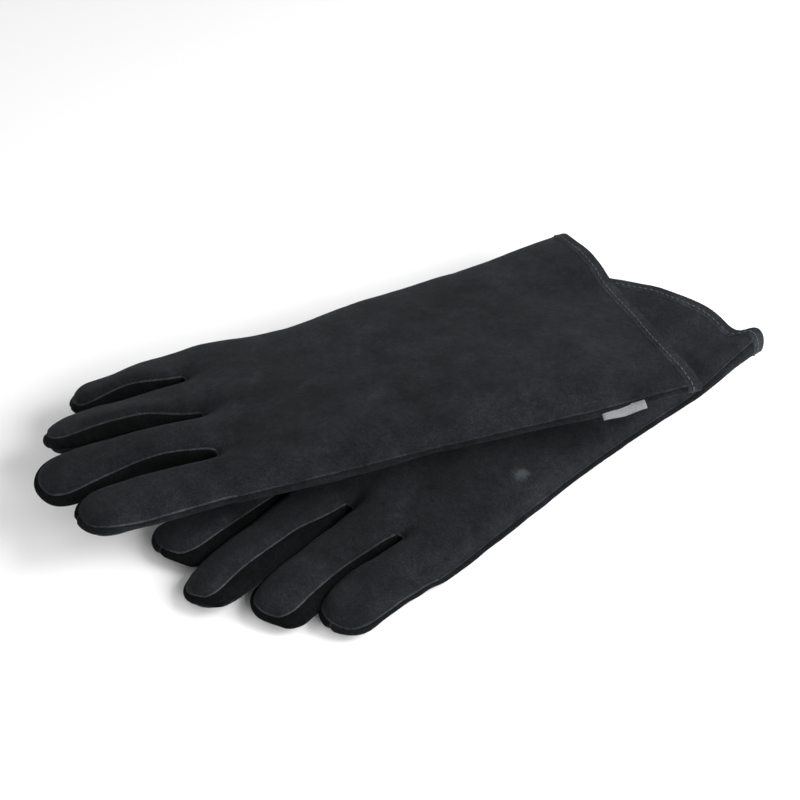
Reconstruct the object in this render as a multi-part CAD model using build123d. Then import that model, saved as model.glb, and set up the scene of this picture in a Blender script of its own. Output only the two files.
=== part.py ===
from build123d import *
from math import atan2, cos, degrees, radians, sin, tan
import os

# A pair of long leather gauntlet gloves for hot cookware and fires, stored one across the other.
#
# Each glove is cut and sewn from flat leather pieces: a back panel, a palm panel that wraps up both
# sides, gussets between the fingers, a two-piece thumb, a bound cuff edge and a quilted lining.
# A glove is drawn in its own frame: x runs from the cuff edge to the finger tips, y across the hand
# and z out of the back of the hand. The little finger of the right glove is on its -y side, and the
# left glove is its mirror image. Units are millimetres and degrees.

# Materials
LEATHER = 1.6
LINING = 1.2
THUMB_LINING = 1.0
LAYER_GAP = 0.2
RUN_GAP = 0.4

# Hand and cuff: distance from the cuff edge, half width
OUTLINE = [(0, 87), (80, 80), (160, 72), (225, 68), (262, 67)]
KNUCKLE = OUTLINE[-1][0]
HAND_HEIGHT = 21
WRIST = 150
BINDING = 8

# Fingers: name, centre across the hand, length beyond the knuckle line
FINGERS = [("pinky", -50.5, 67), ("ring", -16.8, 88), ("middle", 16.8, 104), ("index", 50.5, 91)]
FINGER_BASE = 30.5
FINGER_TIP = 26.5
FINGER_HEIGHT = 20
CROTCH_WALL = 2.5

# Thumb: the heel is the cuff end of its seam with the hand
THUMB_HEEL = 125
THUMB_BASE = 34
THUMB_TIP = 28

# Trim
WELT = 1.3
WELT_HEIGHT = 2.4
LABEL = (28, 7, 0.9)
LABEL_FROM_CUFF = 28
LABEL_HEIGHT = 8
STITCH = (2.8, 0.9, 0.9)
STITCH_PITCH = 4.2
STITCH_FROM_EDGE = 5.5

# How each glove lies: the middle of its cuff edge, the heading of its fingers, the tilt about its
# length, how far each finger can drop below rest, how its finger tips lean, and its thumb
GLOVES = {
    "left": {
        "hand": -1,
        "at": (0, 0, 0),
        "heading": 180.0,
        "tilt": 0,
        "drop": {"pinky": 0, "ring": 0, "middle": 0, "index": 0},
        "lean": {"pinky": 0, "ring": 0, "middle": 1, "index": 8},
        "thumb": {"under_palm": False, "length": 112, "height": 16.5, "turn": 28},
    },
    "right": {
        "hand": 1,
        "at": (-52.0, -23.5, 31.0),
        "heading": 155.7,
        "tilt": 6.1,
        "drop": {"pinky": 12, "ring": 12, "middle": 8, "index": 0},
        "lean": {"pinky": 0, "ring": 0, "middle": -3, "index": 0},
        "thumb": {"under_palm": True, "length": 88, "height": 10.2, "turn": -16, "inset": 25},
    },
}


def half_width(x):
    """Half width of the hand and cuff at a distance from the cuff edge."""
    for (x0, w0), (x1, w1) in zip(OUTLINE, OUTLINE[1:]):
        if x <= x1:
            return w0 + (w1 - w0) * (x - x0) / (x1 - x0)
    return OUTLINE[-1][1]


def group(*shapes):
    """Separate solids kept together as one piece."""
    return Compound([solid for shape in shapes for solid in shape.solids()])


def hand_prism(inset, start, end, low, high):
    """The hand and cuff outline, taken in by inset at each side, from start to end along the glove."""
    stations = sorted({start, end} | {x for x, _ in OUTLINE if start < x < end})
    side = [(x, half_width(x) - inset) for x in stations]
    outline = side + [(x, -y) for x, y in reversed(side)]
    face = make_face(Polyline(*outline, close=True))
    return extrude(face.moved(Location((0, 0, low))), high - low)


def side_walls(thickness, start, end, low, high):
    """Two upright walls along the outline, one at each side of the hand."""
    inner = hand_prism(thickness, start - 1, end + 1, low - 1, high + 1)
    return hand_prism(0, start, end, low, high) - inner


def lining_sleeve(start, end):
    """A stretch of the quilted lining, a flat tube just inside the leather."""
    outer = LEATHER + LAYER_GAP
    inner = outer + LINING
    tube = hand_prism(outer, start, end, outer, HAND_HEIGHT - outer)
    return tube - hand_prism(inner, start - 1, end + 1, inner, HAND_HEIGHT - inner)


def digit_outline(length, base, tip, lean, inset=0.0, open_by=0.0):
    """Outline of a finger with a round tip; its base is at x = 0, or open_by behind it."""
    radius = tip / 2 - inset
    straight = length - tip / 2
    left = base / 2 - inset
    corners = [(straight, lean - radius), (-open_by, -left), (-open_by, left), (straight, lean + radius)]
    end = ThreePointArc(corners[-1], (straight + radius, lean), corners[0])
    return make_face([*Polyline(*corners).edges(), *end.edges()])


def raised(face, low, high):
    """A flat outline extruded between two heights."""
    return extrude(face.moved(Location((0, 0, low))), high - low)


def block(low, high):
    """A box between two corners."""
    size = [b - a for a, b in zip(low, high)]
    centre = [(a + b) / 2 for a, b in zip(low, high)]
    return Box(*size).moved(Location(tuple(centre)))


def digit(length, base, tip, lean, height, lining):
    """Back, front, the two side walls, the rounded end wall and the lining pocket of a digit."""
    size = (length, base, tip, lean)
    outline = digit_outline(*size)
    ring = raised(outline, LEATHER, height - LEATHER)
    ring -= raised(digit_outline(*size, inset=LEATHER, open_by=1), 0, height)
    straight = length - tip / 2
    pocket_inset = LEATHER + LAYER_GAP
    inner_inset = pocket_inset + lining
    pocket = raised(digit_outline(*size, inset=pocket_inset), pocket_inset, height - pocket_inset)
    pocket -= raised(
        digit_outline(*size, inset=inner_inset, open_by=1), inner_inset, height - inner_inset
    )
    return {
        "back": raised(outline, height - LEATHER, height),
        "front": raised(outline, 0, LEATHER),
        "low_wall": ring & block((-1, -length, -1), (straight, 0, height)),
        "high_wall": ring & block((-1, 0, -1), (straight, length, height)),
        "end_wall": ring & block((straight, -length, -1), (length + 1, length, height)),
        "lining": pocket,
    }


def palm_panel(glove):
    """The palm leather with the two sides that it wraps up, as far as the back panel."""
    floor = hand_prism(0, BINDING, KNUCKLE, 0, LEATHER)
    walls = side_walls(LEATHER, BINDING, KNUCKLE, LEATHER, HAND_HEIGHT - LEATHER)
    mouth = thumb_mouth(glove)
    return group(floor - mouth, walls - mouth)


def cuff_binding():
    """The strip folded round the cuff edge, over leather and lining."""
    thickness = LEATHER + LAYER_GAP + LINING
    end = BINDING - LAYER_GAP
    low = hand_prism(0, 0, end, 0, thickness)
    high = hand_prism(0, 0, end, HAND_HEIGHT - thickness, HAND_HEIGHT)
    return group(low, side_walls(thickness, 0, end, thickness, HAND_HEIGHT - thickness), high)


def side_welts():
    """A leather strip caught in each long side seam, standing just proud of it."""
    low = HAND_HEIGHT - LEATHER - WELT_HEIGHT
    wide = hand_prism(-WELT, BINDING, KNUCKLE, low, low + WELT_HEIGHT)
    return wide - hand_prism(0, BINDING - 1, KNUCKLE + 1, low - 1, HAND_HEIGHT)


def crotch_gussets(hand):
    """The turn of each finger gusset at the knuckle line, closing the hand between two fingers."""
    walls = []
    inset = LEATHER + 2 * LAYER_GAP + LINING
    for (_, y0, _), (_, y1, _) in zip(FINGERS, FINGERS[1:]):
        half = (y1 - y0 - FINGER_BASE) / 2 + LEATHER
        middle = hand * (y0 + y1) / 2
        low = (KNUCKLE - CROTCH_WALL, middle - half, inset)
        walls.append(block(low, (KNUCKLE, middle + half, HAND_HEIGHT - inset)))
    return group(*walls)


def hem_stitching():
    """A row of stitches along the back of the cuff binding."""
    length, width, height = STITCH
    count = int(2 * (half_width(0) - STITCH_FROM_EDGE) / STITCH_PITCH)
    stitches = []
    for i in range(count + 1):
        y = (i - count / 2) * STITCH_PITCH
        centre = (STITCH_FROM_EDGE, y, HAND_HEIGHT + height / 2)
        stitches.append(Box(width, length, height).moved(Location(centre)))
    return group(*stitches)


def side_label(hand):
    """A blank woven tab sewn flat into the thumb-side seam near the cuff."""
    length, reach, thickness = LABEL
    x = LABEL_FROM_CUFF + length / 2
    y = half_width(LABEL_FROM_CUFF) + LAYER_GAP + reach / 2
    return Box(length, reach, thickness).moved(Location((x, hand * y, LABEL_HEIGHT)))


def hand_pieces(glove):
    """The leather, lining and trim of the hand and cuff, in the glove's own frame."""
    mouth = thumb_mouth(glove)
    return {
        "back_panel": hand_prism(0, BINDING, KNUCKLE, HAND_HEIGHT - LEATHER, HAND_HEIGHT),
        "palm_panel": palm_panel(glove),
        "hand_lining": lining_sleeve(WRIST + LAYER_GAP, KNUCKLE - CROTCH_WALL - LAYER_GAP) - mouth,
        "cuff_lining": lining_sleeve(BINDING, WRIST) - mouth,
        "cuff_binding": cuff_binding(),
        "hem_stitching": hem_stitching(),
        "side_welts": side_welts(),
        "crotch_gussets": crotch_gussets(glove["hand"]),
        "side_label": side_label(glove["hand"]),
    }


def finger_hinge(glove, name):
    """The middle of a finger's hinge line, along the back of the knuckle line, in the glove's frame."""
    centre = {finger: y for finger, y, _ in FINGERS}[name]
    return KNUCKLE + RUN_GAP / 2, glove["hand"] * centre, FINGER_HEIGHT


def finger_pieces(glove, name, centre, length):
    """One finger, with its base cut back so that it can drop about its hinge."""
    hand = glove["hand"]
    made = digit(length, FINGER_BASE, FINGER_TIP, hand * glove["lean"][name], FINGER_HEIGHT, LINING)
    walls = {-1: made["low_wall"], 1: made["high_wall"]}
    outer = {"pinky": -hand, "index": hand}.get(name)
    if outer:
        front = group(made["front"], walls[outer])
        gusset = group(walls[-outer], made["end_wall"])
    else:
        front = made["front"]
        gusset = group(*walls.values(), made["end_wall"])
    cut_back = FINGER_HEIGHT * tan(radians(glove["drop"][name]))
    wedge_outline = Polyline((-5, FINGER_HEIGHT), (0, FINGER_HEIGHT), (cut_back, 0), (-5, 0), close=True)
    wedge_face = make_face(Plane.XZ * wedge_outline)
    wedge = extrude(wedge_face, FINGER_BASE, both=True)
    at = Location((KNUCKLE + RUN_GAP, hand * centre, 0))
    pieces = {"back": made["back"], "front": front, "gusset": gusset, "lining": made["lining"]}
    return {f"{name}_{part}": at * group(shape - wedge) for part, shape in pieces.items()}


def thumb_place(glove):
    """The heel of the thumb and the way the thumb points, in the glove's frame."""
    hand, thumb = glove["hand"], glove["thumb"]
    if thumb["under_palm"]:
        at = (THUMB_HEEL, hand * (half_width(THUMB_HEEL) - thumb["inset"]), -RUN_GAP - thumb["height"])
    else:
        at = (THUMB_HEEL, hand * (half_width(THUMB_HEEL) + RUN_GAP), 0)
    return Location(at, (0, 0, hand * thumb["turn"]))


def thumb_mouth(glove):
    """The space through which the thumb opens into the hand, in the glove's frame."""
    hand, thumb = glove["hand"], glove["thumb"]
    reach = 8
    if thumb["under_palm"]:
        middle = hand * (half_width(THUMB_HEEL) - thumb["inset"])
        height = LEATHER + THUMB_LINING + 2 * LAYER_GAP + RUN_GAP
        low = (THUMB_HEEL + 5, middle - reach, -height)
        return block(low, (THUMB_HEEL + 30, middle + reach, 6))
    side = hand * half_width(THUMB_HEEL)
    low, high = sorted((side - hand * reach, side + hand * reach))
    return block((THUMB_HEEL + 4, low, 4), (THUMB_HEEL + 52, high, 12.5))


def thumb_pieces(glove):
    """The thumb: a back and a front that meet along its sides, and its lining."""
    hand, thumb = glove["hand"], glove["thumb"]
    made = digit(thumb["length"], THUMB_BASE, THUMB_TIP, 0, thumb["height"], THUMB_LINING)
    front = group(made["front"], made["low_wall"], made["high_wall"], made["end_wall"])
    pieces = {"thumb_back": made["back"], "thumb_front": front, "thumb_lining": made["lining"]}
    if thumb["under_palm"]:
        cut = thumb_mouth(glove)
        shift = Location((0, 0, 0))
    else:
        seam = 75
        side_slope = (half_width(THUMB_HEEL + seam) - half_width(THUMB_HEEL)) / seam
        cut = block((-200, -200, -1), (200, 0, 30)) if hand > 0 else block((-200, 0, -1), (200, 200, 30))
        heel = thumb_place(glove).position
        cut = Location((heel.X, heel.Y, 0), (0, 0, hand * degrees(atan2(side_slope, 1)))) * cut
        shift = Location((0, -hand * THUMB_BASE / 2, 0))
    place = thumb_place(glove) * shift
    return {part: group(place * shape - cut) for part, shape in pieces.items()}


def glove_frame(glove):
    """The glove's own frame, as it lies on the table or on the other glove."""
    heading, tilt = radians(glove["heading"]), radians(glove["tilt"])
    forward = (cos(heading), sin(heading), 0)
    out_of_back = (sin(tilt) * sin(heading), -sin(tilt) * cos(heading), cos(tilt))
    return Plane(origin=glove["at"], x_dir=forward, z_dir=out_of_back).location


def glove_pieces(side):
    """Every named piece of one glove, lying in place."""
    glove = GLOVES[side]
    pieces = hand_pieces(glove)
    for name, centre, length in FINGERS:
        pieces.update(finger_pieces(glove, name, centre, length))
    pieces.update(thumb_pieces(glove))
    frame = glove_frame(glove)
    return {f"{side}_{name}": frame * shape for name, shape in pieces.items()}


def pair():
    """Both gloves, and the move that puts the origin under the middle of the pair."""
    pieces = {name: shape for side in GLOVES for name, shape in glove_pieces(side).items()}
    box = group(*pieces.values()).bounding_box()
    centre = Location((-(box.min.X + box.max.X) / 2, -(box.min.Y + box.max.Y) / 2, -box.min.Z))
    return {name: centre * shape for name, shape in pieces.items()}, centre


os.makedirs("parts", exist_ok=True)
PIECES, CENTRE = pair()
for node, shape in PIECES.items():
    solids = shape.solids()
    export_step(solids[0] if len(solids) == 1 else Compound(solids), f"parts/{node}.step")
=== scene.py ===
from math import ceil, cos, exp, pi, radians, sin, sqrt

import bmesh
import bpy
import numpy as np
from mathutils import Matrix, Vector, noise
from mathutils.bvhtree import BVHTree


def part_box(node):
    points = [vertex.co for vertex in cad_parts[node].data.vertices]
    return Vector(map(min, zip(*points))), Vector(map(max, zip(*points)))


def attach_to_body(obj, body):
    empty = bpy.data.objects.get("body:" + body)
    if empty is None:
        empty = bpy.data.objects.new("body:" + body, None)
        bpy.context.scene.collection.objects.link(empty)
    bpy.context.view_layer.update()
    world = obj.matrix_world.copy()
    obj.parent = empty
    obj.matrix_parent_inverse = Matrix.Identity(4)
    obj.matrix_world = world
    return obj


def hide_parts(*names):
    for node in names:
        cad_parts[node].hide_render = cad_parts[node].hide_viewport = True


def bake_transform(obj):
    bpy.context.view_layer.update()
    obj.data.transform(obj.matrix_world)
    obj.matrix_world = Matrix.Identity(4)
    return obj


# A pair of black suede gauntlets, the right one laid across the left one.
#
# Each glove is worked out in its own frame, in millimetres: u runs from the cuff edge to the finger
# tips, v across the hand from the little finger's side to the thumb's side, and w out of the back of
# the hand. The skin is one grid laid over the glove's plan, with a top layer (back panel), a bottom
# layer (palm panel) and walls between them (finger gussets and the sides of the palm panel). It is
# bent into the glove's pose, subdivided, and only then cut into its leather pieces.

MM = 0.001
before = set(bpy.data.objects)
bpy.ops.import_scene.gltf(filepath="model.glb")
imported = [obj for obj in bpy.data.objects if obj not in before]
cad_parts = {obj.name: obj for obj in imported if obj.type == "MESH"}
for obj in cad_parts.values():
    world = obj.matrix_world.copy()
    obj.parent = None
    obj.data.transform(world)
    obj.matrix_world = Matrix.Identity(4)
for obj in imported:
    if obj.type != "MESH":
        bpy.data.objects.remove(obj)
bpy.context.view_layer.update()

# Grid density
FINGER_COLUMNS = 8
GAP_COLUMNS = 2
HAND_ROWS = 64
BINDING_ROWS = 2
CUFF_LINING_ROWS = 37
WALL_ROWS = 5
ROW_STEP = 3.9

# Glove plan
OUTLINE_U = [0, 80, 160, 225, 266]
OUTLINE_HALF_WIDTH = [86, 79, 73, 70, 67]
KNUCKLE = 266
KNUCKLE_BLEND = 24
FINGER_PITCH = 34
FINGER_BASE = 29.8
TIP_ANGLE = radians(42)
CROTCH_PULL = 1.5
MOUTH_REACH = 70
MOUTH_BLUR = 0.035
THUMB_HEEL = 125
THUMB_HEEL_RISE = 8.0
SIDE_MOUTH_U = (134, 170)
SIDE_MOUTH_W = (3.0, 8.0)
SIDE_MOUTH_DEPTH = 3
FLAT_MOUTH_U = (133, 152)
FLAT_MOUTH_HALF = 8
FLAT_MOUTH_TOP = 3.0
TABLE_GAP = 0.15

# Along a finger, from its crotch
TAPER_BEFORE_TIP = 34
TAPER_LENGTH = 30
NECK_AT = 34
NECK_REACH = 26
FLARE_START = 24
FLARE_END = 15
FLARE_PAST_TIP = 9
ROLL_REACH = 38
SHIFT_REACH = 30

# Heights above the glove's own palm
SIDE_SEAM = 7.0
FINGER_TOP_SEAM = 14.0
FINGER_LOW_SEAM = 4.2
TIP_TOP_SEAM = 11.0
HAND_TOP = 17.0
CROWN = 2.0
CREASE_FROM = 6
CREASE_OVER = 8
FINGER_DOME = 5.0
AXIS_HEIGHT = 9.0
FLAT_THUMB_TOP = -2.6

# Layers of the real glove, and how they meet
LEATHER = 1.5
LINING = 0.9
LINING_INSET = 1.9
SIDE_BULGE = 1.6
CROTCH_BULGE = 0.15
GUSSET_BULGE = 1.0
TIP_BULGE = 1.2
TIP_BULGE_ROWS = 8
SEAM_GROOVE = 1.0
SEAM_GROOVE_BESIDE = 0.4
BINDING_PROUD = 0.2
BINDING_THICKNESS = 3.4
LINING_START = 8.6

# Seams that stand up: width and height of the welts, and how far their roots go into the leather
WELTS = {"upper": (1.1, 0.475), "lower": (0.9, 0.25)}
THUMB_WELT_RISE = 2
WELT_ROOT = 1.2
WELT_WAVE = 0.28
SHORTEST_SEAM = 3

# Stitches through the cuff binding
STITCH_LENGTH = 2.5
STITCH_RADIUS = 0.34
STITCH_PITCH = 3.9
STITCH_FROM_EDGE = 5.2
STITCH_ARCH = ((-0.5, -0.35), (-0.36, 0.15), (0, 0.32), (0.36, 0.15), (0.5, -0.35))

# Label caught in the side seam
LABEL_START = 34.0
LABEL_LENGTH = 25.0
LABEL_WIDTH = 4.2
LABEL_THICKNESS = 0.7
LABEL_COLUMNS = 14
LABEL_ROWS = 6

# Unevenness of the leather: height and size of the swells, the ripples and the puckers
LUMPS = ((1.2, 48), (0.45, 15), (0.14, 6))
THUMB_SEED = 3

FINGERS = ("pinky", "ring", "middle", "index")

# How each glove lies. The place is the CAD's own: where the cuff's middle is, its heading and tilt.
# Crotch: how far each of the three crotches is moved along the glove.
# Swells: where the little finger's side is drawn in or let out, how far along, and by how much.
# Mouth: across the cuff edge, the heights of its top and bottom and how far it is pushed back.
# Fingers: length past the crotch, width at the tip, and at the tip the lean sideways, the roll and
# the droop; the shift sideways of the whole finger. On the side that the camera sees, how far the
# gusset's lower edge flares out, the top seam drops, and the finger narrows into a neck.
# Creases: from where to where, how deep and how wide.
GLOVES = {
    "left": {
        "hand": -1,
        "heading": 180.0,
        "tilt": 0.0,
        "origin": (0.0, 0.0, 0.0),
        "crotch": (-5, -1, 0),
        "swells": ((125, 60, 2.0), (258, 30, -2.0)),
        "far_squeeze": 0.24,
        "mouth": (
            (-1.00, 20.5, 7.0, -4.0),
            (-0.92, 27.0, 4.0, -7.0),
            (-0.85, 17.5, 1.0, -1.0),
            (-0.79, 17.0, 0.0, 0.0),
            (-0.60, 22.0, 0.0, -1.5),
            (-0.48, 22.8, 0.0, -1.0),
            (-0.30, 21.5, 0.0, 0.0),
            (-0.13, 18.5, 0.0, 0.0),
            (0.05, 15.0, 0.0, 4.0),
            (0.28, 12.5, 0.0, 10.0),
            (0.60, 9.5, 0.0, 16.0),
            (0.85, 8.0, 0.5, 18.0),
            (1.00, 6.5, 2.5, 19.0),
        ),
        "fingers": {
            "pinky": dict(length=62.5, tip=33, lean=0, roll=3, droop=0,
                          shift=1.5, flare=0.5, near_drop=0.0, neck=1.0),
            "ring": dict(length=82.5, tip=29.5, lean=-1, roll=6, droop=0,
                         shift=0.5, flare=7.5, near_drop=1.0, neck=1.5),
            "middle": dict(length=100.5, tip=26.5, lean=0, roll=21, droop=0,
                           shift=0.5, flare=10.5, near_drop=0.0, neck=0.0),
            "index": dict(length=89.5, tip=31, lean=4, roll=5, droop=0,
                          shift=-0.5, flare=9.5, near_drop=1.5, neck=0.0),
        },
        "thumb": {"length": 112, "base": 34, "tip": 28, "turn": 28},
        "creases": (
            ((258, -30), (216, -14), 2.4, 3.8),
            ((258, -36), (232, -46), 1.6, 3.2),
            ((262, 0), (232, 6), 1.8, 3.4),
            ((150, -60), (95, -30), 0.9, 9.0),
            ((52, -74), (16, -34), 2.0, 7.0),
        ),
    },
    "right": {
        "hand": 1,
        "heading": 155.7,
        "tilt": 6.1,
        "origin": (-52.0, -23.5, 31.0),
        "crotch": (0, 0, 3),
        "swells": ((200, 36, 4.5), (270, 34, -5.5)),
        "far_squeeze": 0.0,
        "mouth": (
            (-1.00, 11.0, 4.5, 1.0),
            (-0.92, 17.5, 1.5, 3.0),
            (-0.75, 19.8, 0.0, 2.5),
            (-0.57, 20.4, 0.0, 0.5),
            (-0.40, 18.0, 0.0, -0.5),
            (-0.27, 14.7, 0.0, 0.0),
            (0.18, 15.9, 0.0, -0.5),
            (0.47, 16.5, 0.0, 0.5),
            (0.87, 15.1, 1.5, -1.0),
            (1.00, 11.0, 6.0, -2.0),
        ),
        "fingers": {
            "pinky": dict(length=62, tip=23, lean=-1, roll=-12, droop=7,
                          shift=-4.5, flare=5.0, near_drop=0.0, neck=0.0),
            "ring": dict(length=82.5, tip=31, lean=-9, roll=-24, droop=6,
                         shift=-3.8, flare=5.0, near_drop=0.0, neck=0.0),
            "middle": dict(length=95.5, tip=32, lean=-7, roll=5, droop=6,
                           shift=-2.0, flare=2.5, near_drop=-1.0, neck=6.5),
            "index": dict(length=82, tip=32, lean=-3.5, roll=0, droop=2,
                          shift=0.0, flare=0.0, near_drop=0.0, neck=0.0),
        },
        "thumb": {"length": 88, "base": 34, "tip": 28, "turn": -16, "inset": 25},
        "creases": (
            ((262, 26), (240, 30), 1.0, 3.2),
            ((262, -8), (238, -12), 1.1, 3.2),
            ((262, -44), (244, -48), 1.0, 3.0),
            ((20, -22), (90, -10), 1.2, 10.0),
            ((130, 60), (190, 20), 0.8, 9.0),
        ),
    },
}


def smooth(x):
    """Smoothstep from 0 to 1."""
    x = min(max(x, 0.0), 1.0)
    return x * x * (3 - 2 * x)


def half_width(u):
    """Half width of the hand and cuff at a distance from the cuff edge."""
    return float(np.interp(u, OUTLINE_U, OUTLINE_HALF_WIDTH))


def placement(side):
    """The matrix from a glove's own frame, in millimetres, to the row frame, in metres."""
    glove = GLOVES[side]
    heading, tilt = radians(glove["heading"]), radians(glove["tilt"])
    forward = Vector((cos(heading), sin(heading), 0))
    up = Vector((sin(tilt) * sin(heading), -sin(tilt) * cos(heading), cos(tilt)))
    across = up.cross(forward) * glove["hand"]
    origin = cuff_middle() + Vector(glove["origin"]) * MM
    axes = Matrix((forward, across, up)).transposed().to_4x4()
    return Matrix.Translation(origin) @ axes @ Matrix.Scale(MM, 4)


def cuff_middle():
    """The middle of the lower glove's cuff edge, on the table, read off the CAD."""
    low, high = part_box("left_cuff_binding")
    return Vector((high.x, (low.y + high.y) / 2, 0))


def column_layout():
    """Each column line across the glove: its v at the knuckles, its finger or gap, its place s."""
    lines = []
    for f in range(4):
        centre = (f - 1.5) * FINGER_PITCH
        for c in range(FINGER_COLUMNS + 1):
            s = 2 * c / FINGER_COLUMNS - 1
            lines.append({"v": centre + s * FINGER_BASE / 2, "finger": f, "s": s})
        if f < 3:
            gap = FINGER_PITCH - FINGER_BASE
            for c in range(1, GAP_COLUMNS):
                v = centre + FINGER_BASE / 2 + gap * c / GAP_COLUMNS
                lines.append({"v": v, "finger": None, "gap": f, "s": 1.0})
    return lines


COLUMNS = column_layout()
LAST_COLUMN = len(COLUMNS) - 1
EDGE_V = COLUMNS[-1]["v"]


def finger_columns(f):
    """Column lines of finger number f."""
    first = f * (FINGER_COLUMNS + GAP_COLUMNS)
    return list(range(first, first + FINGER_COLUMNS + 1))


def outer_seam_drop(f, s):
    """How far the top seam is let down on the outer side of the little finger and the index."""
    outer = {0: -1, 3: 1}.get(f)
    return (SIDE_SEAM - FINGER_TOP_SEAM) * (1 + outer * s) / 2 if outer else 0.0


def digit_plan(digit, s, x_row, x_end):
    """Where a point of a straight digit is in plan."""
    tip = digit["tip"] / 2
    base = digit.get("base", FINGER_BASE) / 2
    centre = digit["length"] - tip
    if x_row <= centre:
        half = base + (tip - base) * smooth(x_row / centre)
    else:
        half = sqrt(max(tip * tip - (x_row - centre) ** 2, 0))
    bulge = smooth((x_row - (centre - tip)) / (x_end - (centre - tip)))
    x = x_row + bulge * tip * (cos(TIP_ANGLE * s) - cos(TIP_ANGLE))
    y = half * (s * (1 - bulge) + bulge * sin(TIP_ANGLE * s) / sin(TIP_ANGLE))
    return x, y


def digit_dome(digit, s, x_row, x_end):
    """Fullness of a digit's back and front, from 0 at its seams to 1 along its middle."""
    centre = digit["length"] - digit["tip"] / 2
    along = min(max((x_row - centre + 6) / (x_end - centre + 6), 0), 1)
    rim = min((abs(s) ** 3 + along**3) ** (1 / 3), 1)
    return (1 - rim**2.6) ** 0.6, (1 - rim**5) ** 0.5


def digit_end(digit):
    """Where a digit's last row crosses its sides."""
    tip = digit["tip"] / 2
    return digit["length"] - tip + tip * cos(TIP_ANGLE)


def finger_point(f, finger, s, x_row):
    """Plan position and heights of the top and bottom of a straight finger."""
    x_end = digit_end(finger)
    x, y = digit_plan(finger, s, x_row, x_end)
    dome, belly = digit_dome(finger, s, x_row, x_end)
    tapered = smooth((x_row - finger["length"] + TAPER_BEFORE_TIP) / TAPER_LENGTH)
    seam = FINGER_TOP_SEAM + outer_seam_drop(f, s)
    seam -= finger["near_drop"] * max(finger["near"] * s, 0) * smooth(x_row / 24)
    seam += (TIP_TOP_SEAM - seam) * tapered
    return x, y, seam + FINGER_DOME * dome, FINGER_LOW_SEAM * (1 - belly)


def mouth_profile(glove, t):
    """Heights of the cuff edge and how far it is pushed back, at t from -1 to 1 across it."""
    table = np.array(glove["mouth"])
    near = [t - MOUTH_BLUR, t, t + MOUTH_BLUR]
    return [float(np.mean(np.interp(near, table[:, 0], table[:, k]))) for k in (1, 2, 3)]


def side_swell(glove, u, t):
    """How far the little finger's side is drawn in, or let out, along the glove."""
    swell = sum(by * exp(-(((u - at) / reach) ** 2)) for at, reach, by in glove["swells"])
    return swell * smooth(-t)


def hand_point(glove, line, u):
    """Position of the top and bottom of the hand and cuff on one column line."""
    t = line["v"] / EDGE_V
    rim = abs(t)
    top = SIDE_SEAM + (HAND_TOP - SIDE_SEAM) * (1 - rim**8) ** 0.55 + CROWN * (1 - rim * rim)
    bottom = 3.6 * (1 - (1 - rim**14) ** 0.5)
    knuckles = smooth((u - KNUCKLE + KNUCKLE_BLEND) / KNUCKLE_BLEND) ** 1.6
    finger_top, finger_bottom = FINGER_TOP_SEAM - 0.4, FINGER_LOW_SEAM
    if line["finger"] is not None:
        s = line["s"]
        finger_top = FINGER_TOP_SEAM + outer_seam_drop(line["finger"], s)
        finger_top += FINGER_DOME * (1 - abs(s) ** 2.6) ** 0.6
        finger_bottom = FINGER_LOW_SEAM * (1 - (1 - abs(s) ** 5) ** 0.5)
    top += (finger_top - top) * knuckles
    bottom += (finger_bottom - bottom) * knuckles
    mouth = 1 - smooth(u / MOUTH_REACH)
    mouth_top, mouth_bottom, push = mouth_profile(glove, t)
    top += (mouth_top - top) * mouth
    bottom += (mouth_bottom - bottom) * mouth
    v = t * half_width(u) * (1 - glove["far_squeeze"] * mouth * smooth(t * 1.6))
    v += side_swell(glove, u, t)
    if line["finger"] is None:
        u += smooth((u - KNUCKLE + 10) / 10) * (glove["crotch"][line["gap"]] - CROTCH_PULL)
    elif rim < 0.9 and abs(line["s"]) == 1.0:
        gap = line["finger"] if line["s"] > 0 else line["finger"] - 1
        u += smooth((u - KNUCKLE + 16) / 16) * glove["crotch"][gap]
    return u + push * mouth, v, top, bottom


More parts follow.
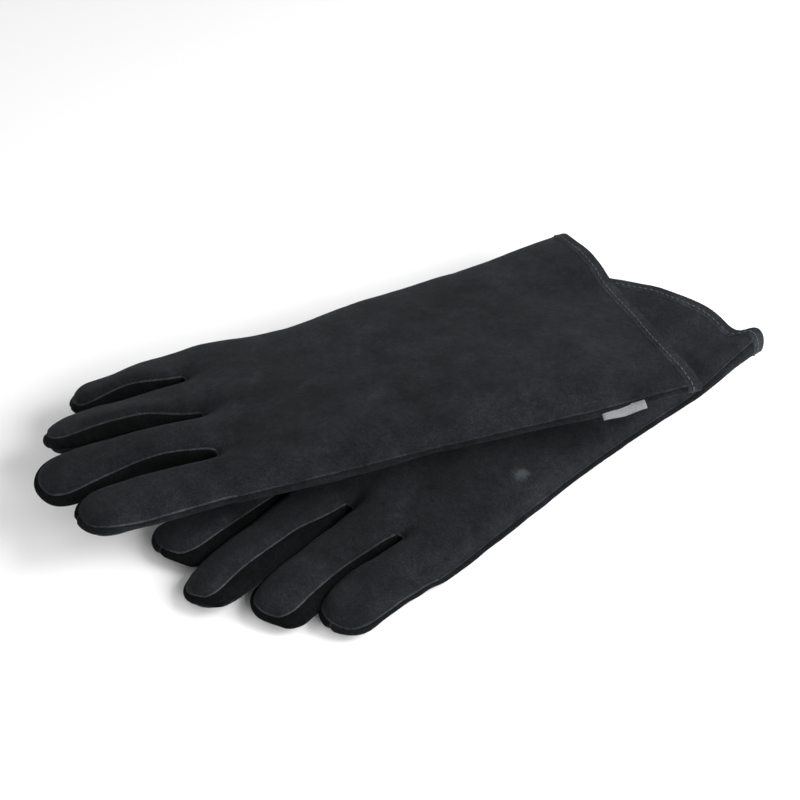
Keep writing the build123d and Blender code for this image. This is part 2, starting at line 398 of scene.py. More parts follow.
class Skin:
    """A grid of points, and faces with the name of the leather piece each belongs to."""

    def __init__(self):
        self.points = []
        self.faces = []
        self.tags = []
        self.index = {}
        self.finger = []
        self.reach = []

    def add(self, key, point, finger=-1, reach=0.0):
        self.index[key] = len(self.points)
        self.points.append(point)
        self.finger.append(finger)
        self.reach.append(reach)

    def pair(self, j, i, x, y, top, bottom, inset, finger=-1, reach=0.0, flare=0.0):
        """A point of the top layer and the one below it in the bottom layer."""
        squeeze = min(inset, 0.3 * (top - bottom))
        self.add(("top", j, i), (x, y, top - squeeze), finger, reach)
        self.add(("bottom", j, i), (x, y + flare, bottom + squeeze), finger, reach)

    def at(self, key):
        return self.points[self.index[key]]

    def quad(self, j, i, tags):
        """The faces of both layers between two columns and two rows."""
        corners = [(j, i), (j + 1, i), (j + 1, i + 1), (j, i + 1)]
        for layer, order, tag in (("top", corners[::-1], tags[0]), ("bottom", corners, tags[1])):
            self.faces.append([self.index[(layer, a, b)] for a, b in order])
            self.tags.append(tag)

    def wall(self, path, tag_of, bulge_of):
        """Wall points and faces between the two layers, along the outer edge of the grid."""
        plan = np.array([self.at(("top", j, i))[:2] for j, i in path])
        ahead = np.zeros_like(plan)
        ahead[1:-1] = plan[2:] - plan[:-2]
        ahead[0], ahead[-1] = plan[1] - plan[0], plan[-1] - plan[-2]
        outward = np.stack([ahead[:, 1], -ahead[:, 0]], axis=1)
        outward /= np.linalg.norm(outward, axis=1)[:, None]
        for (j, i), normal in zip(path, outward):
            top, bottom = np.array(self.at(("top", j, i))), np.array(self.at(("bottom", j, i)))
            n = self.index[("top", j, i)]
            for k in range(1, WALL_ROWS):
                share = k / WALL_ROWS
                point = top + (bottom - top) * share
                point[:2] += normal * bulge_of(j, i) * sin(pi * share) ** 0.8
                self.add(("wall", j, i, k), tuple(point), self.finger[n], self.reach[n])
        for a, b in zip(path, path[1:]):
            for k in range(WALL_ROWS):
                keys = [wall_key(a, k), wall_key(a, k + 1), wall_key(b, k + 1), wall_key(b, k)]
                self.faces.append([self.index[key] for key in keys])
                self.tags.append(tag_of(a, b))


def wall_key(place, k):
    if k == 0:
        return ("top", *place)
    if k == WALL_ROWS:
        return ("bottom", *place)
    return ("wall", *place, k)


def row_count(finger):
    return int(ceil(finger["length"] / ROW_STEP))


def hand_tag(i, tag):
    """The cuff binding takes the first rows of both panels."""
    return "cuff_binding" if i < BINDING_ROWS else tag


def lining_tag(i, tag):
    """The lining of the cuff and the lining of the hand, told apart by row."""
    return "cuff_lining" if i < CUFF_LINING_ROWS else "hand_lining"


def lay_hand(skin, glove, inset, row_tag):
    for i in range(HAND_ROWS + 1):
        for j, line in enumerate(COLUMNS):
            u, v, top, bottom = hand_point(glove, line, KNUCKLE * i / HAND_ROWS)
            if line["finger"] is None:
                u -= inset * smooth((u - KNUCKLE + 16) / 10)
            elif i == HAND_ROWS:
                v -= inset * line["s"]
            else:
                v -= inset * line["v"] / EDGE_V
            skin.pair(j, i, u, v, top, bottom, inset)
    for i in range(HAND_ROWS):
        for j in range(LAST_COLUMN):
            skin.quad(j, i, (row_tag(i, "back_panel"), row_tag(i, "palm_panel")))


def flare_share(finger, x):
    """The gusset on a finger's near side spreads from the crotch on, and closes in at the tip."""
    return smooth(x / FLARE_START) * smooth((finger["length"] - x + FLARE_PAST_TIP) / FLARE_END)


def lay_finger(skin, glove, f, inset, tags):
    finger, near = glove["fingers"][FINGERS[f]], glove["hand"]
    rows = row_count(finger)
    small = dict(finger, length=finger["length"] - inset, tip=finger["tip"] - 2 * inset)
    small["base"] = FINGER_BASE - 2 * inset
    small["near"] = near
    centre = (f - 1.5) * FINGER_PITCH
    for r in range(1, rows + 1):
        x_row = digit_end(small) * (1 - (1 - r / rows) ** 1.25)
        for j in finger_columns(f):
            s = COLUMNS[j]["s"]
            x, y, top, bottom = finger_point(f, small, s, x_row)
            flare = near * finger["flare"] * max(near * s, 0) ** 2 * flare_share(finger, x)
            neck = finger["neck"] * exp(-(((x - NECK_AT) / NECK_REACH) ** 2))
            y -= near * neck * (1 + near * s) / 2
            y += side_swell(glove, KNUCKLE + x, (centre + y) / EDGE_V)
            skin.pair(j, HAND_ROWS + r, KNUCKLE + x, centre + y, top, bottom, inset, f, x, flare)
    for i in range(HAND_ROWS, HAND_ROWS + rows):
        for j in finger_columns(f)[:-1]:
            skin.quad(j, i, tags)


def rim_path(glove):
    """The grid's outer edge: up the little finger's side, round each finger, down the index's side."""
    path = [(0, i) for i in range(HAND_ROWS)]
    for f, name in enumerate(FINGERS):
        columns = finger_columns(f)
        last = HAND_ROWS + row_count(glove["fingers"][name])
        path += [(columns[0], i) for i in range(HAND_ROWS, last)]
        path += [(j, last) for j in columns]
        path += [(columns[-1], i) for i in range(last - 1, HAND_ROWS - 1, -1)]
        if f < 3:
            path += [(columns[-1] + c, HAND_ROWS) for c in range(1, GAP_COLUMNS)]
    return path + [(LAST_COLUMN, i) for i in range(HAND_ROWS - 1, -1, -1)]


def gusset_tag(a, b):
    """The leather piece that the wall between two neighbouring rim points belongs to."""
    (j0, i0), (j1, i1) = a, b
    if max(i0, i1) <= HAND_ROWS:
        return hand_tag(min(i0, i1), "palm_panel") if j0 == j1 else "crotch_gussets"
    f = COLUMNS[j1 if i0 <= HAND_ROWS else j0]["finger"]
    middle = finger_columns(f)[0] + FINGER_COLUMNS / 2
    outside = (f == 0 and max(j0, j1) <= middle) or (f == 3 and min(j0, j1) >= middle)
    return f"{FINGERS[f]}_front" if outside else f"{FINGERS[f]}_gusset"


def lining_wall_tag(a, b):
    (j0, i0), (j1, i1) = a, b
    if max(i0, i1) <= HAND_ROWS:
        return lining_tag(min(i0, i1), "")
    return f"{FINGERS[COLUMNS[j1 if i0 <= HAND_ROWS else j0]['finger']]}_lining"


def wall_bulge(glove, j, i):
    """How far a wall puffs out at mid height: most of all round the finger tips."""
    if i <= HAND_ROWS:
        return SIDE_BULGE if j in (0, LAST_COLUMN) else CROTCH_BULGE
    last = HAND_ROWS + row_count(glove["fingers"][FINGERS[COLUMNS[j]["finger"]]])
    return GUSSET_BULGE + TIP_BULGE * smooth((i - last + TIP_BULGE_ROWS) / TIP_BULGE_ROWS)


def roll_point(point, centre, height, angle):
    """A point turned about a digit's own axis."""
    u, v, w = point
    y, z = v - centre, w - height
    return u, centre + y * cos(angle) + z * sin(angle), height + z * cos(angle) - y * sin(angle)


def bend_fingers(skin, glove, floor):
    """Rolls, leans and droops each finger more and more towards its tip, and lays it on the table."""
    for n, (f, x) in enumerate(zip(skin.finger, skin.reach)):
        if f < 0:
            continue
        finger = glove["fingers"][FINGERS[f]]
        angle = radians(finger["roll"]) * smooth(x / ROLL_REACH)
        u, v, w = roll_point(skin.points[n], (f - 1.5) * FINGER_PITCH, AXIS_HEIGHT, angle)
        share = min(x / finger["length"], 1.1)
        v += finger["lean"] * share**1.6 + finger["shift"] * smooth(x / SHIFT_REACH)
        w -= finger["droop"] * share**1.7
        if glove["tilt"] == 0:
            w = max(w, floor + 0.04 * (w - floor))
        skin.points[n] = (u, v, w)


def crease(points, start, end, depth, width):
    """How deep a soft crease between two places presses each point."""
    a, b = np.array(start, float), np.array(end, float)
    along = np.clip(((points[:, :2] - a) @ (b - a)) / ((b - a) @ (b - a)), 0, 1)
    near = a + along[:, None] * (b - a)
    gap = np.linalg.norm(points[:, :2] - near, axis=1) / width
    return depth * np.exp(-gap * gap) * (1 - along) ** 0.6


def settle(points, glove):
    """Presses the creases into the back of the glove."""
    share = np.clip((points[:, 2] - CREASE_FROM) / CREASE_OVER, 0, 1)
    for start, end, depth, width in glove["creases"]:
        points[:, 2] -= share * crease(points, start, end, depth, width)
    return points


def glove_skin(glove, inset=0.0):
    """The skin of the hand, cuff and fingers, or of their lining when it is set in from the leather."""
    skin = Skin()
    lay_hand(skin, glove, inset, lining_tag if inset else hand_tag)
    for f, name in enumerate(FINGERS):
        tags = (f"{name}_lining",) * 2 if inset else (f"{name}_back", f"{name}_front")
        lay_finger(skin, glove, f, inset, tags)
    path = rim_path(glove)
    skin.wall(path, lining_wall_tag if inset else gusset_tag, lambda j, i: wall_bulge(glove, j, i))
    bend_fingers(skin, glove, inset)
    skin.points = settle(np.array(skin.points, float), glove)
    return skin


def thumb_skin(glove, inset=0.0):
    """A thumb: beside the hand on the left glove, pressed flat under the palm on the right one."""
    thumb = glove["thumb"]
    under = "inset" in thumb
    small = dict(thumb, length=thumb["length"] - inset, tip=thumb["tip"] - 2 * inset)
    small["base"] = thumb["base"] - 2 * inset
    turn = radians(thumb["turn"])
    side = half_width(THUMB_HEEL) - (thumb["inset"] if under else 0)
    offset = 0 if under else -thumb["base"] / 2
    rows = row_count(thumb)
    skin = Skin()
    for r in range(rows + 1):
        for c in range(FINGER_COLUMNS + 1):
            s = 2 * c / FINGER_COLUMNS - 1
            q = 1 - (1 - r / rows) ** 1.25
            x_row = digit_end(small) * q
            x, y = digit_plan(small, s, x_row, digit_end(small))
            dome, belly = digit_dome(small, s, x_row, digit_end(small))
            if under:
                opened = smooth(x / 26)
                top = FLAT_THUMB_TOP + 2.0 * dome
                bottom = FLAT_THUMB_TOP - (3.8 + 3.6 * belly) * opened
            else:
                opened = smooth(q / 0.3)
                x += (1 - q) ** 1.5 * (thumb["base"] / 2 - y) * 0.88 / (sin(turn) + 0.09)
                top = THUMB_HEEL_RISE + opened + (3.0 + 3.2 * opened) * dome
                bottom = 3.6 * (1 - belly)
            y += offset
            u = THUMB_HEEL + x * cos(turn) - y * sin(turn)
            v = side - 1.5 + x * sin(turn) + y * cos(turn)
            skin.pair(c, r, u, v, top, bottom, inset, 0, x)
    tags = ("thumb_lining", "thumb_lining") if inset else ("thumb_back", "thumb_front")
    for r in range(rows):
        for c in range(FINGER_COLUMNS):
            skin.quad(c, r, tags)
    path = [(0, r) for r in range(rows)] + [(c, rows) for c in range(FINGER_COLUMNS)]
    path += [(FINGER_COLUMNS, r) for r in range(rows, -1, -1)]
    skin.wall(path, lambda a, b: tags[1], lambda j, i: 1.2)
    skin.points = np.array(skin.points, float)
    return skin


def on_table(points, glove, height):
    """Keeps the glove that lies flat from sinking into the table."""
    if glove["tilt"] == 0:
        points[:, 2] = np.maximum(points[:, 2], height)
    return points


def subdivided(skin):
    """The skin after one level of subdivision: points, quads, and the tag of each quad."""
    names = sorted(set(skin.tags))
    mesh = bpy.data.meshes.new("skin")
    mesh.from_pydata([tuple(p) for p in skin.points], [], skin.faces)
    obj = bpy.data.objects.new("skin", mesh)
    bpy.context.scene.collection.objects.link(obj)
    marker = bpy.data.materials.new("marker")
    for _ in names:
        mesh.materials.append(marker)
    mesh.polygons.foreach_set("material_index", [names.index(t) for t in skin.tags])
    modifier = obj.modifiers.new("round", "SUBSURF")
    modifier.levels = 1
    modifier.boundary_smooth = "PRESERVE_CORNERS"
    dense = bpy.data.meshes.new_from_object(obj.evaluated_get(bpy.context.evaluated_depsgraph_get()))
    bpy.data.objects.remove(obj)
    flat = np.zeros(len(dense.vertices) * 3)
    dense.vertices.foreach_get("co", flat)
    quads = np.array([list(p.vertices) for p in dense.polygons])
    tags = np.array([names[p.material_index] for p in dense.polygons])
    bpy.data.meshes.remove(dense)
    bpy.data.materials.remove(marker)
    return flat.reshape(-1, 3), quads, tags


def vertex_normals(points, quads):
    """Area-weighted vertex normals of a quad mesh."""
    a, b, c, d = (points[quads[:, k]] for k in range(4))
    face = np.cross(c - a, d - b)
    normals = np.zeros_like(points)
    for k in range(4):
        np.add.at(normals, quads[:, k], face)
    return normals / np.maximum(np.linalg.norm(normals, axis=1)[:, None], 1e-12)


def lumps(points, seed):
    """The soft unevenness of lying leather: long shallow swells and finer ripples."""
    out = np.zeros(len(points))
    for n, p in enumerate(points):
        q = Vector((p[0] + seed, p[1] - seed, p[2]))
        out[n] = sum(height * noise.noise(q / size) for height, size in LUMPS)
    return out


def edge_tags(quads, tags):
    """For each edge of the mesh, the tags of the faces on it."""
    found = {}
    for quad, tag in zip(quads.tolist(), tags):
        for a, b in zip(quad, quad[1:] + quad[:1]):
            found.setdefault((min(a, b), max(a, b)), []).append(str(tag))
    return found


def is_back(tag):
    return tag.endswith("back") or tag == "back_panel"


def is_gusset(tag):
    return "gusset" in tag


def digit_of(tag):
    return next((name for name in (*FINGERS, "thumb") if tag.startswith(name)), None)


def seam_edges(quads, tags):
    """Edges on the upper seams and on the lower seams, by digit."""
    seams = {"upper": {}, "lower": {}}
    for edge, found in edge_tags(quads, tags).items():
        if len(found) < 2 or "cuff_binding" in found:
            continue
        digit = next((digit_of(tag) for tag in found if digit_of(tag)), None)
        if is_back(found[0]) != is_back(found[1]):
            seams["upper"].setdefault(digit, []).append(edge)
        elif is_gusset(found[0]) != is_gusset(found[1]):
            seams["lower"].setdefault(digit, []).append(edge)
    return seams


def chains(edges):
    """Edges joined up into runs of vertices."""
    links = {}
    for a, b in edges:
        links.setdefault(a, []).append(b)
        links.setdefault(b, []).append(a)
    ends = [v for v, near in links.items() if len(near) != 2]
    seen, runs = set(), []
    for start in ends + list(links):
        for step in links[start]:
            if (start, step) in seen:
                continue
            run = [start, step]
            seen |= {(start, step), (step, start)}
            while len(links[run[-1]]) == 2:
                ahead = [v for v in links[run[-1]] if (run[-1], v) not in seen]
                if not ahead:
                    break
                seen |= {(run[-1], ahead[0]), (ahead[0], run[-1])}
                run.append(ahead[0])
            runs.append(run)
    return [run for run in runs if len(run) > SHORTEST_SEAM]


def link(name, points, faces, sharp=()):
    """A new mesh object, smooth shaded but for its sharp edges."""
    mesh = bpy.data.meshes.new(name)
    mesh.from_pydata([tuple(p) for p in points], [], faces)
    mesh.polygons.foreach_set("use_smooth", [True] * len(mesh.polygons))
    if sharp:
        flags = [tuple(sorted(edge.vertices)) in sharp for edge in mesh.edges]
        mesh.attributes.new("sharp_edge", "BOOLEAN", "EDGE").data.foreach_set("value", flags)
    obj = bpy.data.objects.new(name, mesh)
    bpy.context.scene.collection.objects.link(obj)
    return obj


def closed_piece(name, points, normals, quads, thickness, proud=0.0):
    """A piece cut out of the skin: its outer face, its inner face and the cut edge between them."""
    used, where = np.unique(quads, return_inverse=True)
    where = where.reshape(quads.shape).tolist()
    outer = points[used] + normals[used] * proud
    inner = points[used] - normals[used] * (thickness - proud)
    count = len(used)
    faces = where + [[v + count for v in face[::-1]] for face in where]
    edges = {(a, b) for face in where for a, b in zip(face, face[1:] + face[:1])}
    rim = [(a, b) for a, b in edges if (b, a) not in edges]
    faces += [[b, a, a + count, b + count] for a, b in rim]
    sharp = {(min(a, b) + k, max(a, b) + k) for a, b in rim for k in (0, count)}
    return link(name, np.concatenate([outer, inner]), faces, sharp)


def sweep(rows, normals, section, closed):
    """Points and faces of a section carried along a line; section: (sideways, outwards) pairs."""
    rows, normals = np.array(rows), np.array(normals)
    ahead = np.roll(rows, -1, axis=0) - np.roll(rows, 1, axis=0)
    if not closed:
        ahead[0], ahead[-1] = rows[1] - rows[0], rows[-1] - rows[-2]
    ahead /= np.linalg.norm(ahead, axis=1)[:, None]
    across = np.cross(ahead, normals)
    across /= np.linalg.norm(across, axis=1)[:, None]
    out = np.cross(across, ahead)
    points = [rows[n] + across[n] * y + out[n] * z for n in range(len(rows)) for y, z in section]
    size = len(section)
    faces = []
    for n in range(len(rows) if closed else len(rows) - 1):
        m = (n + 1) % len(rows)
        for k in range(size):
            after = (k + 1) % size
            faces.append([n * size + k, n * size + after, m * size + after, m * size + k])
    if not closed:
        faces += [list(range(size))[::-1], [(len(rows) - 1) * size + k for k in range(size)]]
    return points, faces


def eased(values, times):
    """Values along a run, averaged with their neighbours."""
    values = np.array(values)
    for _ in range(times):
        values[1:-1] = (values[:-2] + 2 * values[1:-1] + values[2:]) / 4
    return values


def welt(name, runs, points, normals, width, height):
    """The raised seam: the narrow edge of leather that stands up where two pieces are sewn."""
    half = width / 2
    side = [(half, -WELT_ROOT), (half, height * 0.55), (half * 0.5, height)]
    section = [(-half, -WELT_ROOT)] + side + [(-y, z) for y, z in side[:0:-1]]
    all_points, all_faces = [], []
    for run in runs:
        line = eased(points[run], 2)
        outward = eased(normals[run], 2)
        wave = np.array([noise.noise(Vector(p) / 7) for p in line])
        found, faces = sweep(line + outward * (WELT_WAVE * wave)[:, None], outward, section, False)
        start = len(all_points)
        all_points += found
        all_faces += [[v + start for v in face] for face in faces]
    return link(name, all_points, all_faces)


def faces_out(mesh):
    """Turns every face of a closed mesh outwards."""
    work = bmesh.new()
    work.from_mesh(mesh)
    bmesh.ops.recalc_face_normals(work, faces=work.faces)
    work.to_mesh(mesh)
    work.free()


def finish_piece(obj, matrix, slot):
    """Moves a piece from its glove's frame to the row frame and gives it its material."""
    obj.data.transform(matrix)
    for vertex in obj.data.vertices:
        vertex.co.z = max(vertex.co.z, TABLE_GAP * MM / 2)
    faces_out(obj.data)
    obj.data.materials.clear()
    obj.data.materials.append(MATERIALS[slot])
    return obj


def attach(obj, side, digit):
    """Makes a piece ride on the hand, or, for a digit's piece, bakes its transform into its mesh."""
    if digit is None:
        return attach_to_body(obj, f"{side}_hand")
    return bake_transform(obj)


def slot_of(tag):
    # Gussets take the leather painted darkest: painted shade in the slots between the fingers.
    if is_gusset(tag):
        return "gusset_suede"
    if tag == "cuff_binding":
        return "binding_suede"
    # Everything but the back, binding and gussets takes the palm leather, painted darker than the back
    # as shade on the finger fronts and the sides of the hand.
    return "back_suede" if is_back(tag) else "palm_suede"


def in_thumb_mouth(glove, centre):
    """Whether a face lies where the thumb opens into the hand."""
    thumb = glove["thumb"]
    u, v, w = centre
    if "inset" in thumb:
        off = abs(v - half_width(THUMB_HEEL) + thumb["inset"])
        return FLAT_MOUTH_U[0] < u < FLAT_MOUTH_U[1] and off < FLAT_MOUTH_HALF and w < FLAT_MOUTH_TOP
    on_side = v > half_width(u) - SIDE_MOUTH_DEPTH
    return on_side and SIDE_MOUTH_U[0] < u < SIDE_MOUTH_U[1] and SIDE_MOUTH_W[0] < w < SIDE_MOUTH_W[1]


def leather(side, glove, skin, matrix, seed):
    """Cuts a skin into its leather pieces and stands the welts along its seams."""
    points, quads, tags = subdivided(skin)
    normals = vertex_normals(points, quads)
    points = points + normals * lumps(points, seed)[:, None]
    seams = seam_edges(quads, tags)
    sewn = [edge for by_digit in seams.values() for run in by_digit.values() for edge in run]
    on_seam = sorted({v for edge in sewn for v in edge})
    points[on_seam] -= normals[on_seam] * SEAM_GROOVE
    beside = np.setdiff1d(quads[np.isin(quads, on_seam).any(axis=1)], on_seam)
    points[beside] -= normals[beside] * SEAM_GROOVE * SEAM_GROOVE_BESIDE
    points = on_table(points, glove, TABLE_GAP)
    normals = vertex_normals(points, quads)
    centres = points[quads].mean(axis=1)
    in_mouth = np.array([in_thumb_mouth(glove, centre) for centre in centres])
    keep = (tags != "palm_panel") | ~in_mouth
    for tag in sorted(set(tags)):
        chosen = quads[(tags == tag) & keep]
        bound = tag == "cuff_binding"
        thickness, proud = (BINDING_THICKNESS, BINDING_PROUD) if bound else (LEATHER, 0.0)
        piece = closed_piece(f"{side}_{tag}_leather", points, normals, chosen, thickness, proud)
        finish_piece(piece, matrix, slot_of(tag))
        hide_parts(f"{side}_{tag}")
        attach(piece, side, digit_of(tag))
    for kind, (width, height) in WELTS.items():
        for digit, edges in seams[kind].items():
            rise = height * THUMB_WELT_RISE if digit == "thumb" else height
            name = f"{side}_{digit or 'hand'}_{kind}_welt"
            piece = welt(name, chains(edges), points, normals, width, rise)
            # The welts on the digits take the paler seam leather, a painted highlight along the ridges;
            # the hand's welts take the binding leather.
            finish_piece(piece, matrix, "seam_suede" if digit else "binding_suede")
            stands_for = f"{side}_side_welts" if digit is None else f"{side}_{digit}_back"
            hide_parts(stands_for)
            attach(piece, side, digit)
    return BVHTree.FromPolygons([Vector(p) for p in points], quads.tolist())


def lining(side, glove, skin, matrix, seed):
    """Cuts the inner skin into the lining pieces; the binding covers the cuff's first stretch."""
    points, quads, tags = subdivided(skin)
    normals = vertex_normals(points, quads)
    points = points + normals * lumps(points, seed)[:, None]
    points = on_table(points, glove, TABLE_GAP + LINING_INSET)
    centres = points[quads].mean(axis=1)
    is_thumb = skin.tags[0] == "thumb_lining"
    keep = np.array([not in_thumb_mouth(glove, centre) for centre in centres])
    keep &= (centres[:, 0] > LINING_START) | is_thumb
    for tag in sorted(set(tags)):
        chosen = quads[(tags == tag) & keep]
        piece = closed_piece(f"{side}_{tag}_cloth", points, normals, chosen, LINING)
        finish_piece(piece, matrix, "lining")
        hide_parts(f"{side}_{tag}")
        attach(piece, side, digit_of(tag))


def mouth_ring(skin, distance):
    """Points of the unsubdivided skin at a distance from the cuff edge, all round the mouth."""
    keys = [("top", j) for j in range(LAST_COLUMN + 1)]
    keys += [("wall", LAST_COLUMN, k) for k in range(1, WALL_ROWS)]
    keys += [("bottom", j) for j in range(LAST_COLUMN, -1, -1)]
    keys += [("wall", 0, k) for k in range(WALL_ROWS - 1, 0, -1)]
    row = distance / (KNUCKLE / HAND_ROWS)
    share = row - int(row)
    ring = []
    for key in keys:
        low, high = (np.array(skin.at((*key[:2], int(row) + k, *key[2:]))) for k in (0, 1))
        ring.append(low + (high - low) * share)
    return np.array(ring)


def along_ring(ring, pitch):
    """Evenly spaced points round a closed ring, with the way it runs at each."""
    closed = np.concatenate([ring, ring[:1]])
    lengths = np.concatenate([[0], np.cumsum(np.linalg.norm(np.diff(closed, axis=0), axis=1))])
    count = int(lengths[-1] / pitch)
    places = np.arange(count) * lengths[-1] / count
    spots = np.stack([np.interp(places, lengths, closed[:, k]) for k in range(3)], axis=1)
    return spots, np.roll(spots, -1, axis=0) - np.roll(spots, 1, axis=0)


def hem_stitches(side, skin, surface, matrix):
    """One row of pale stitches through the binding, all round the cuff."""
    spots, ways = along_ring(mouth_ring(skin, STITCH_FROM_EDGE), STITCH_PITCH)
    section = [(STITCH_RADIUS * cos(pi * k / 3), STITCH_RADIUS * sin(pi * k / 3)) for k in range(6)]
    points, faces = [], []
    for spot, way in zip(spots, ways):
        at, normal, _, _ = surface.find_nearest(Vector(spot))
        way = Vector(way).normalized()
        line = []
        for share, rise in STITCH_ARCH:
            line.append(at + way * (share * STITCH_LENGTH) + normal * (BINDING_PROUD + rise))
        found, new = sweep(line, [normal] * len(line), section, False)
        start = len(points)
        points += found
        faces += [[v + start for v in face] for face in new]
    piece = finish_piece(link(f"{side}_hem_thread", points, faces), matrix, "thread")
    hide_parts(f"{side}_hem_stitching")
    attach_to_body(piece, f"{side}_hand")


def label(side, skin, matrix):
    """A small blank woven tab caught in the thumb-side seam near the cuff, its free edge curling."""
    points, faces = [], []
    for layer in (0, 1):
        for c in range(LABEL_COLUMNS + 1):
            along = c / LABEL_COLUMNS
            row = (LABEL_START + LABEL_LENGTH * along) / (KNUCKLE / HAND_ROWS)
            low, high = (np.array(skin.at(("top", LAST_COLUMN, int(row) + k))) for k in (0, 1))
            root = low + (high - low) * (row - int(row))
            for r in range(LABEL_ROWS + 1):
                out = r / LABEL_ROWS
                sag = -2.6 * out * out - 0.7 * sin(pi * along) * out + 0.3 * sin(9 * along) * out
                fall = sag - 0.6 - layer * LABEL_THICKNESS
                points.append(root + np.array([0, 0.4 + LABEL_WIDTH * out, fall]))
    size = (LABEL_COLUMNS + 1) * (LABEL_ROWS + 1)
    for c in range(LABEL_COLUMNS):
        for r in range(LABEL_ROWS):
            a = c * (LABEL_ROWS + 1) + r
            quad = [a, a + LABEL_ROWS + 1, a + LABEL_ROWS + 2, a + 1]
            faces += [quad, [v + size for v in quad[::-1]]]
    rim = [c * (LABEL_ROWS + 1) for c in range(LABEL_COLUMNS + 1)]
    rim += [LABEL_COLUMNS * (LABEL_ROWS + 1) + r for r in range(1, LABEL_ROWS + 1)]
    rim += [c * (LABEL_ROWS + 1) + LABEL_ROWS for c in range(LABEL_COLUMNS - 1, -1, -1)]
    rim += list(range(LABEL_ROWS - 1, 0, -1))
    for a, b in zip(rim, rim[1:] + rim[:1]):
        faces.append([b, a, a + size, b + size])
    piece = finish_piece(link(f"{side}_tab", points, faces), matrix, "label")
    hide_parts(f"{side}_side_label")
    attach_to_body(piece, f"{side}_hand")


def grey(value):
    return (value, value, value)


class Shader:
    """A material's node tree, with the few kinds of node that these fabrics need."""

    def __init__(self, name):
        self.material = bpy.data.materials.new(name)
        self.material.use_nodes = True
        self.nodes = self.material.node_tree.nodes
        self.links = self.material.node_tree.links
        self.out = self.nodes["Principled BSDF"]
        self.where = self.nodes.new("ShaderNodeTexCoord").outputs["Object"]

    def noise(self, scale, detail, rough=0.55):
        node = self.nodes.new("ShaderNodeTexNoise")
        node.inputs["Scale"].default_value = scale
        node.inputs["Detail"].default_value = detail
        node.inputs["Roughness"].default_value = rough
        self.links.new(self.where, node.inputs["Vector"])
        return node.outputs["Fac"]

    def ramp(self, source, low, high, dark, light):
        node = self.nodes.new("ShaderNodeValToRGB")
        for element, position, colour in zip(node.color_ramp.elements, (low, high), (dark, light)):
            element.position = position
            element.color = (*colour, 1)
        self.links.new(source, node.inputs["Fac"])
        return node.outputs["Color"]

    def colour(self, value):
        node = self.nodes.new("ShaderNodeRGB")
        node.outputs[0].default_value = (*value, 1)
        return node.outputs[0]

    def mix(self, a, b, factor, blend="MIX"):
        node = self.nodes.new("ShaderNodeMix")
        node.data_type = "RGBA"
        node.blend_type = blend
        if isinstance(factor, float):
            node.inputs[0].default_value = factor
        else:
            self.links.new(factor, node.inputs[0])
        self.links.new(a, node.inputs[6])
        self.links.new(b, node.inputs[7])
        return node.outputs[2]

    def spot(self, at, reach, broken_by):
        """Where a ragged patch round a place in space is, from 0 to 1."""
        far = self.nodes.new("ShaderNodeVectorMath")
        far.operation = "DISTANCE"
        self.links.new(self.where, far.inputs[0])
        far.inputs[1].default_value = at
        near = self.nodes.new("ShaderNodeMapRange")
        near.inputs["From Max"].default_value = reach
        near.inputs["To Min"].default_value = 1.0
        near.inputs["To Max"].default_value = 0.0
        self.links.new(far.outputs["Value"], near.inputs["Value"])
        both = self.nodes.new("ShaderNodeMath")
        both.operation = "MULTIPLY"
        self.links.new(near.outputs["Result"], both.inputs[0])
        self.links.new(broken_by, both.inputs[1])
        return self.ramp(both.outputs["Value"], 0.27, 0.45, grey(0), grey(0.8))

    def bump(self, height, strength, distance, below=None):
        node = self.nodes.new("ShaderNodeBump")
        node.inputs["Strength"].default_value = strength
        node.inputs["Distance"].default_value = distance
        self.links.new(height, node.inputs["Height"])
        if below:
            self.links.new(below, node.inputs["Normal"])
        return node.outputs["Normal"]

    def finish(self, colour, normal, roughness, specular, sheen, sheen_tint=(0.6, 0.66, 0.72)):
        self.links.new(colour, self.out.inputs["Base Color"])
        self.links.new(normal, self.out.inputs["Normal"])
        self.out.inputs["Roughness"].default_value = roughness
        self.out.inputs["Specular IOR Level"].default_value = specular
        self.out.inputs["Sheen Weight"].default_value = sheen
        self.out.inputs["Sheen Roughness"].default_value = 0.5
        self.out.inputs["Sheen Tint"].default_value = (*sheen_tint, 1)
        return self.material


def suede(name, dark, brushed, scuffed, specular=0.1, sheen=0.07, worn_at=None):
    """Short napped leather: mottled where the nap lies different ways, scuffed, worn at one spot."""
    shader = Shader(name)
    mottle = shader.ramp(shader.noise(55, 7, 0.7), 0.34, 0.68, dark, brushed)
    grain = shader.ramp(shader.noise(1300, 3, 0.7), 0.3, 0.75, grey(0.3), grey(1.8))
    colour = shader.mix(mottle, grain, 0.9, "MULTIPLY")
    patches = shader.ramp(shader.noise(16, 3, 0.6), 0.36, 0.62, grey(0.74), grey(1.16))
    colour = shader.mix(colour, patches, 1.0, "MULTIPLY")
    fleck = shader.ramp(shader.noise(430, 4, 0.72), 0.34, 0.7, grey(0.66), grey(1.4))
    colour = shader.mix(colour, fleck, 0.8, "MULTIPLY")
    scuffs = shader.ramp(shader.noise(62, 8, 0.75), 0.57, 0.78, grey(0), grey(scuffed))
    colour = shader.mix(colour, shader.colour(SCUFF), scuffs)
    if worn_at:
        worn = shader.spot(worn_at, WEAR_REACH, shader.noise(190, 6, 0.8))
        colour = shader.mix(colour, shader.colour(WEAR_COLOUR), worn)
    swell = shader.bump(shader.noise(170, 4, 0.6), 0.5, 0.0009)
    nap = shader.bump(shader.noise(1500, 4, 0.75), 0.7, 0.0006, swell)
    return shader.finish(colour, nap, 0.95, specular, sheen)


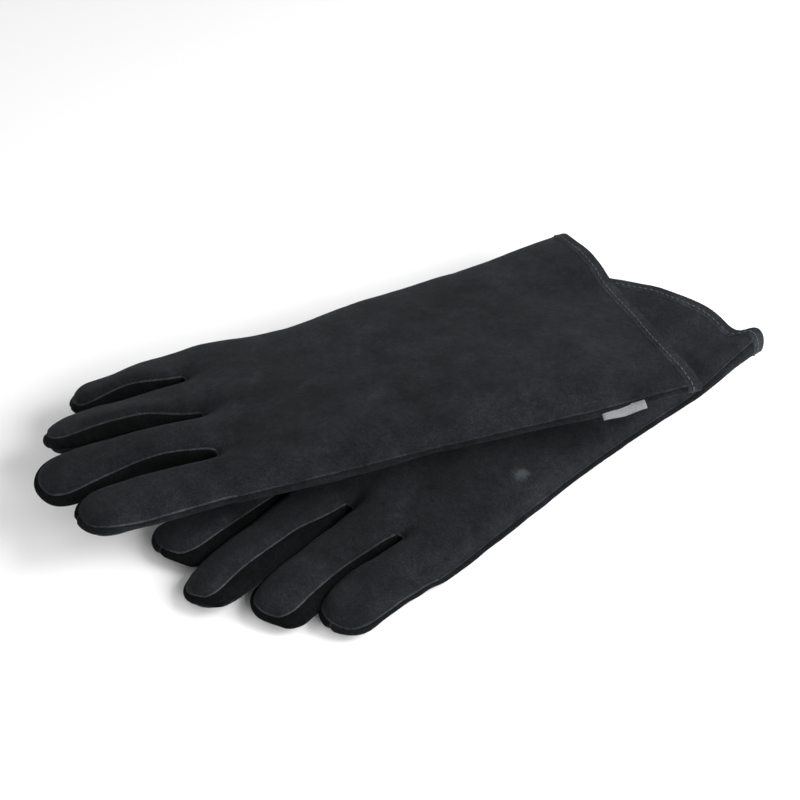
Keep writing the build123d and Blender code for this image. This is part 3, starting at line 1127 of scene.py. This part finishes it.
def woven(name, dark, light, scale, sheen=0.1):
    """A plain woven or spun fabric."""
    shader = Shader(name)
    colour = shader.ramp(shader.noise(scale, 3, 0.7), 0.35, 0.7, dark, light)
    normal = shader.bump(shader.noise(scale * 1.3, 3, 0.7), 0.6, 0.0003)
    return shader.finish(colour, normal, 0.9, 0.2, sheen)


NEAR_BLACK = (0.0052, 0.0058, 0.0068)
BRUSHED = (0.0122, 0.0137, 0.0157)
SCUFF = (0.046, 0.052, 0.058)
WEAR_COLOUR = (0.050, 0.060, 0.067)

# Where the pale worn spot is on the lower glove, in that glove's frame, and how far it spreads, in m
WEAR_PLACE = (183, -54, 17)
WEAR_REACH = 0.013


def all_materials():
    worn_at = placement("left") @ Vector(WEAR_PLACE)
    # Palm leather painted darker than the back: painted shade on the finger fronts and the sides of the
    # hand.
    palm = (0.0042, 0.0047, 0.0053), (0.0098, 0.011, 0.0125)
    # Gusset leather painted darker still: painted shade in the gussets between the fingers.
    gusset = (0.0018, 0.002, 0.0021), (0.0045, 0.005, 0.0052)
    # Seam leather painted paler: a painted highlight along the welts, where the ridges catch the light.
    seam = (0.010, 0.0112, 0.0122), (0.046, 0.0505, 0.055)
    cloth = (0.016, 0.016, 0.017), (0.03, 0.03, 0.032)
    thread = (0.035, 0.036, 0.038), (0.11, 0.112, 0.116)
    silver = (0.125, 0.129, 0.134), (0.18, 0.183, 0.19)
    return {
        "back_suede": suede("back_suede", NEAR_BLACK, BRUSHED, 0.30, worn_at=worn_at),
        "palm_suede": suede("palm_suede", *palm, 0.18, 0.05, 0.03),
        "gusset_suede": suede("gusset_suede", *gusset, 0.07, 0.04, 0.02),
        "seam_suede": suede("seam_suede", *seam, 0.45),
        "binding_suede": suede("binding_suede", NEAR_BLACK, (0.024, 0.0265, 0.030), 0.4),
        "lining": woven("lining", *cloth, 900),
        "thread": woven("thread", *thread, 1500),
        "label": woven("label", *silver, 1100),
    }


MATERIALS = all_materials()


def make_glove(side, seed):
    glove = GLOVES[side]
    matrix = placement(side)
    skin = glove_skin(glove)
    surface = leather(side, glove, skin, matrix, seed)
    leather(side, glove, thumb_skin(glove), matrix, seed + THUMB_SEED)
    lining(side, glove, glove_skin(glove, LINING_INSET), matrix, seed)
    lining(side, glove, thumb_skin(glove, LINING_INSET), matrix, seed + THUMB_SEED)
    hem_stitches(side, skin, surface, matrix)
    label(side, skin, matrix)


def floor():
    bpy.ops.mesh.primitive_plane_add(size=6, location=(0, 0, 0))
    plane = bpy.context.object
    plane.name = "floor"
    material = bpy.data.materials.new("floor")
    material.use_nodes = True
    shader = material.node_tree.nodes["Principled BSDF"]
    shader.inputs["Base Color"].default_value = (0.96, 0.96, 0.96, 1)
    shader.inputs["Roughness"].default_value = 0.9
    plane.data.materials.append(material)


def soft_light(name, at, size, power):
    data = bpy.data.lights.new(name, "AREA")
    data.size = size
    data.energy = power
    light = bpy.data.objects.new(name, data)
    light.location = at
    light.rotation_mode = "QUATERNION"
    light.rotation_quaternion = (-Vector(at)).to_track_quat("-Z", "Y")
    bpy.context.scene.collection.objects.link(light)


def studio():
    """A white room with soft lights from the right, low from the front, and weakly from behind."""
    world = bpy.data.worlds.new("studio")
    bpy.context.scene.world = world
    world.use_nodes = True
    world.node_tree.nodes["Background"].inputs["Color"].default_value = (1, 1, 1, 1)
    world.node_tree.nodes["Background"].inputs["Strength"].default_value = 0.38
    soft_light("key", (0.5, -0.9, 0.85), 0.7, 19)
    soft_light("front", (-0.3, -1.3, 0.55), 0.9, 17)
    soft_light("fill", (-0.5, 0.6, 1.2), 1.2, 4)
    bpy.context.scene.view_settings.view_transform = "Standard"


def camera():
    """A longish lens from the little finger's side of the lower glove, looking down at the pair."""
    elevation, azimuth, distance, lens = radians(43.56), radians(-46.14), 1018.5, 76.26
    target = cuff_middle() + Vector((-174.04, 48.81, 0)) * MM
    back = Vector((sin(azimuth) * cos(elevation), -cos(azimuth) * cos(elevation), sin(elevation)))
    data = bpy.data.cameras.new("camera")
    data.lens = lens
    data.clip_start = 0.05
    data.clip_end = 20
    eye = bpy.data.objects.new("camera", data)
    eye.location = target + back * distance * MM
    eye.rotation_mode = "QUATERNION"
    eye.rotation_quaternion = (-back).to_track_quat("-Z", "Y")
    bpy.context.scene.collection.objects.link(eye)
    bpy.context.scene.camera = eye


make_glove("left", 11.0)
make_glove("right", 47.0)
floor()
studio()
camera()
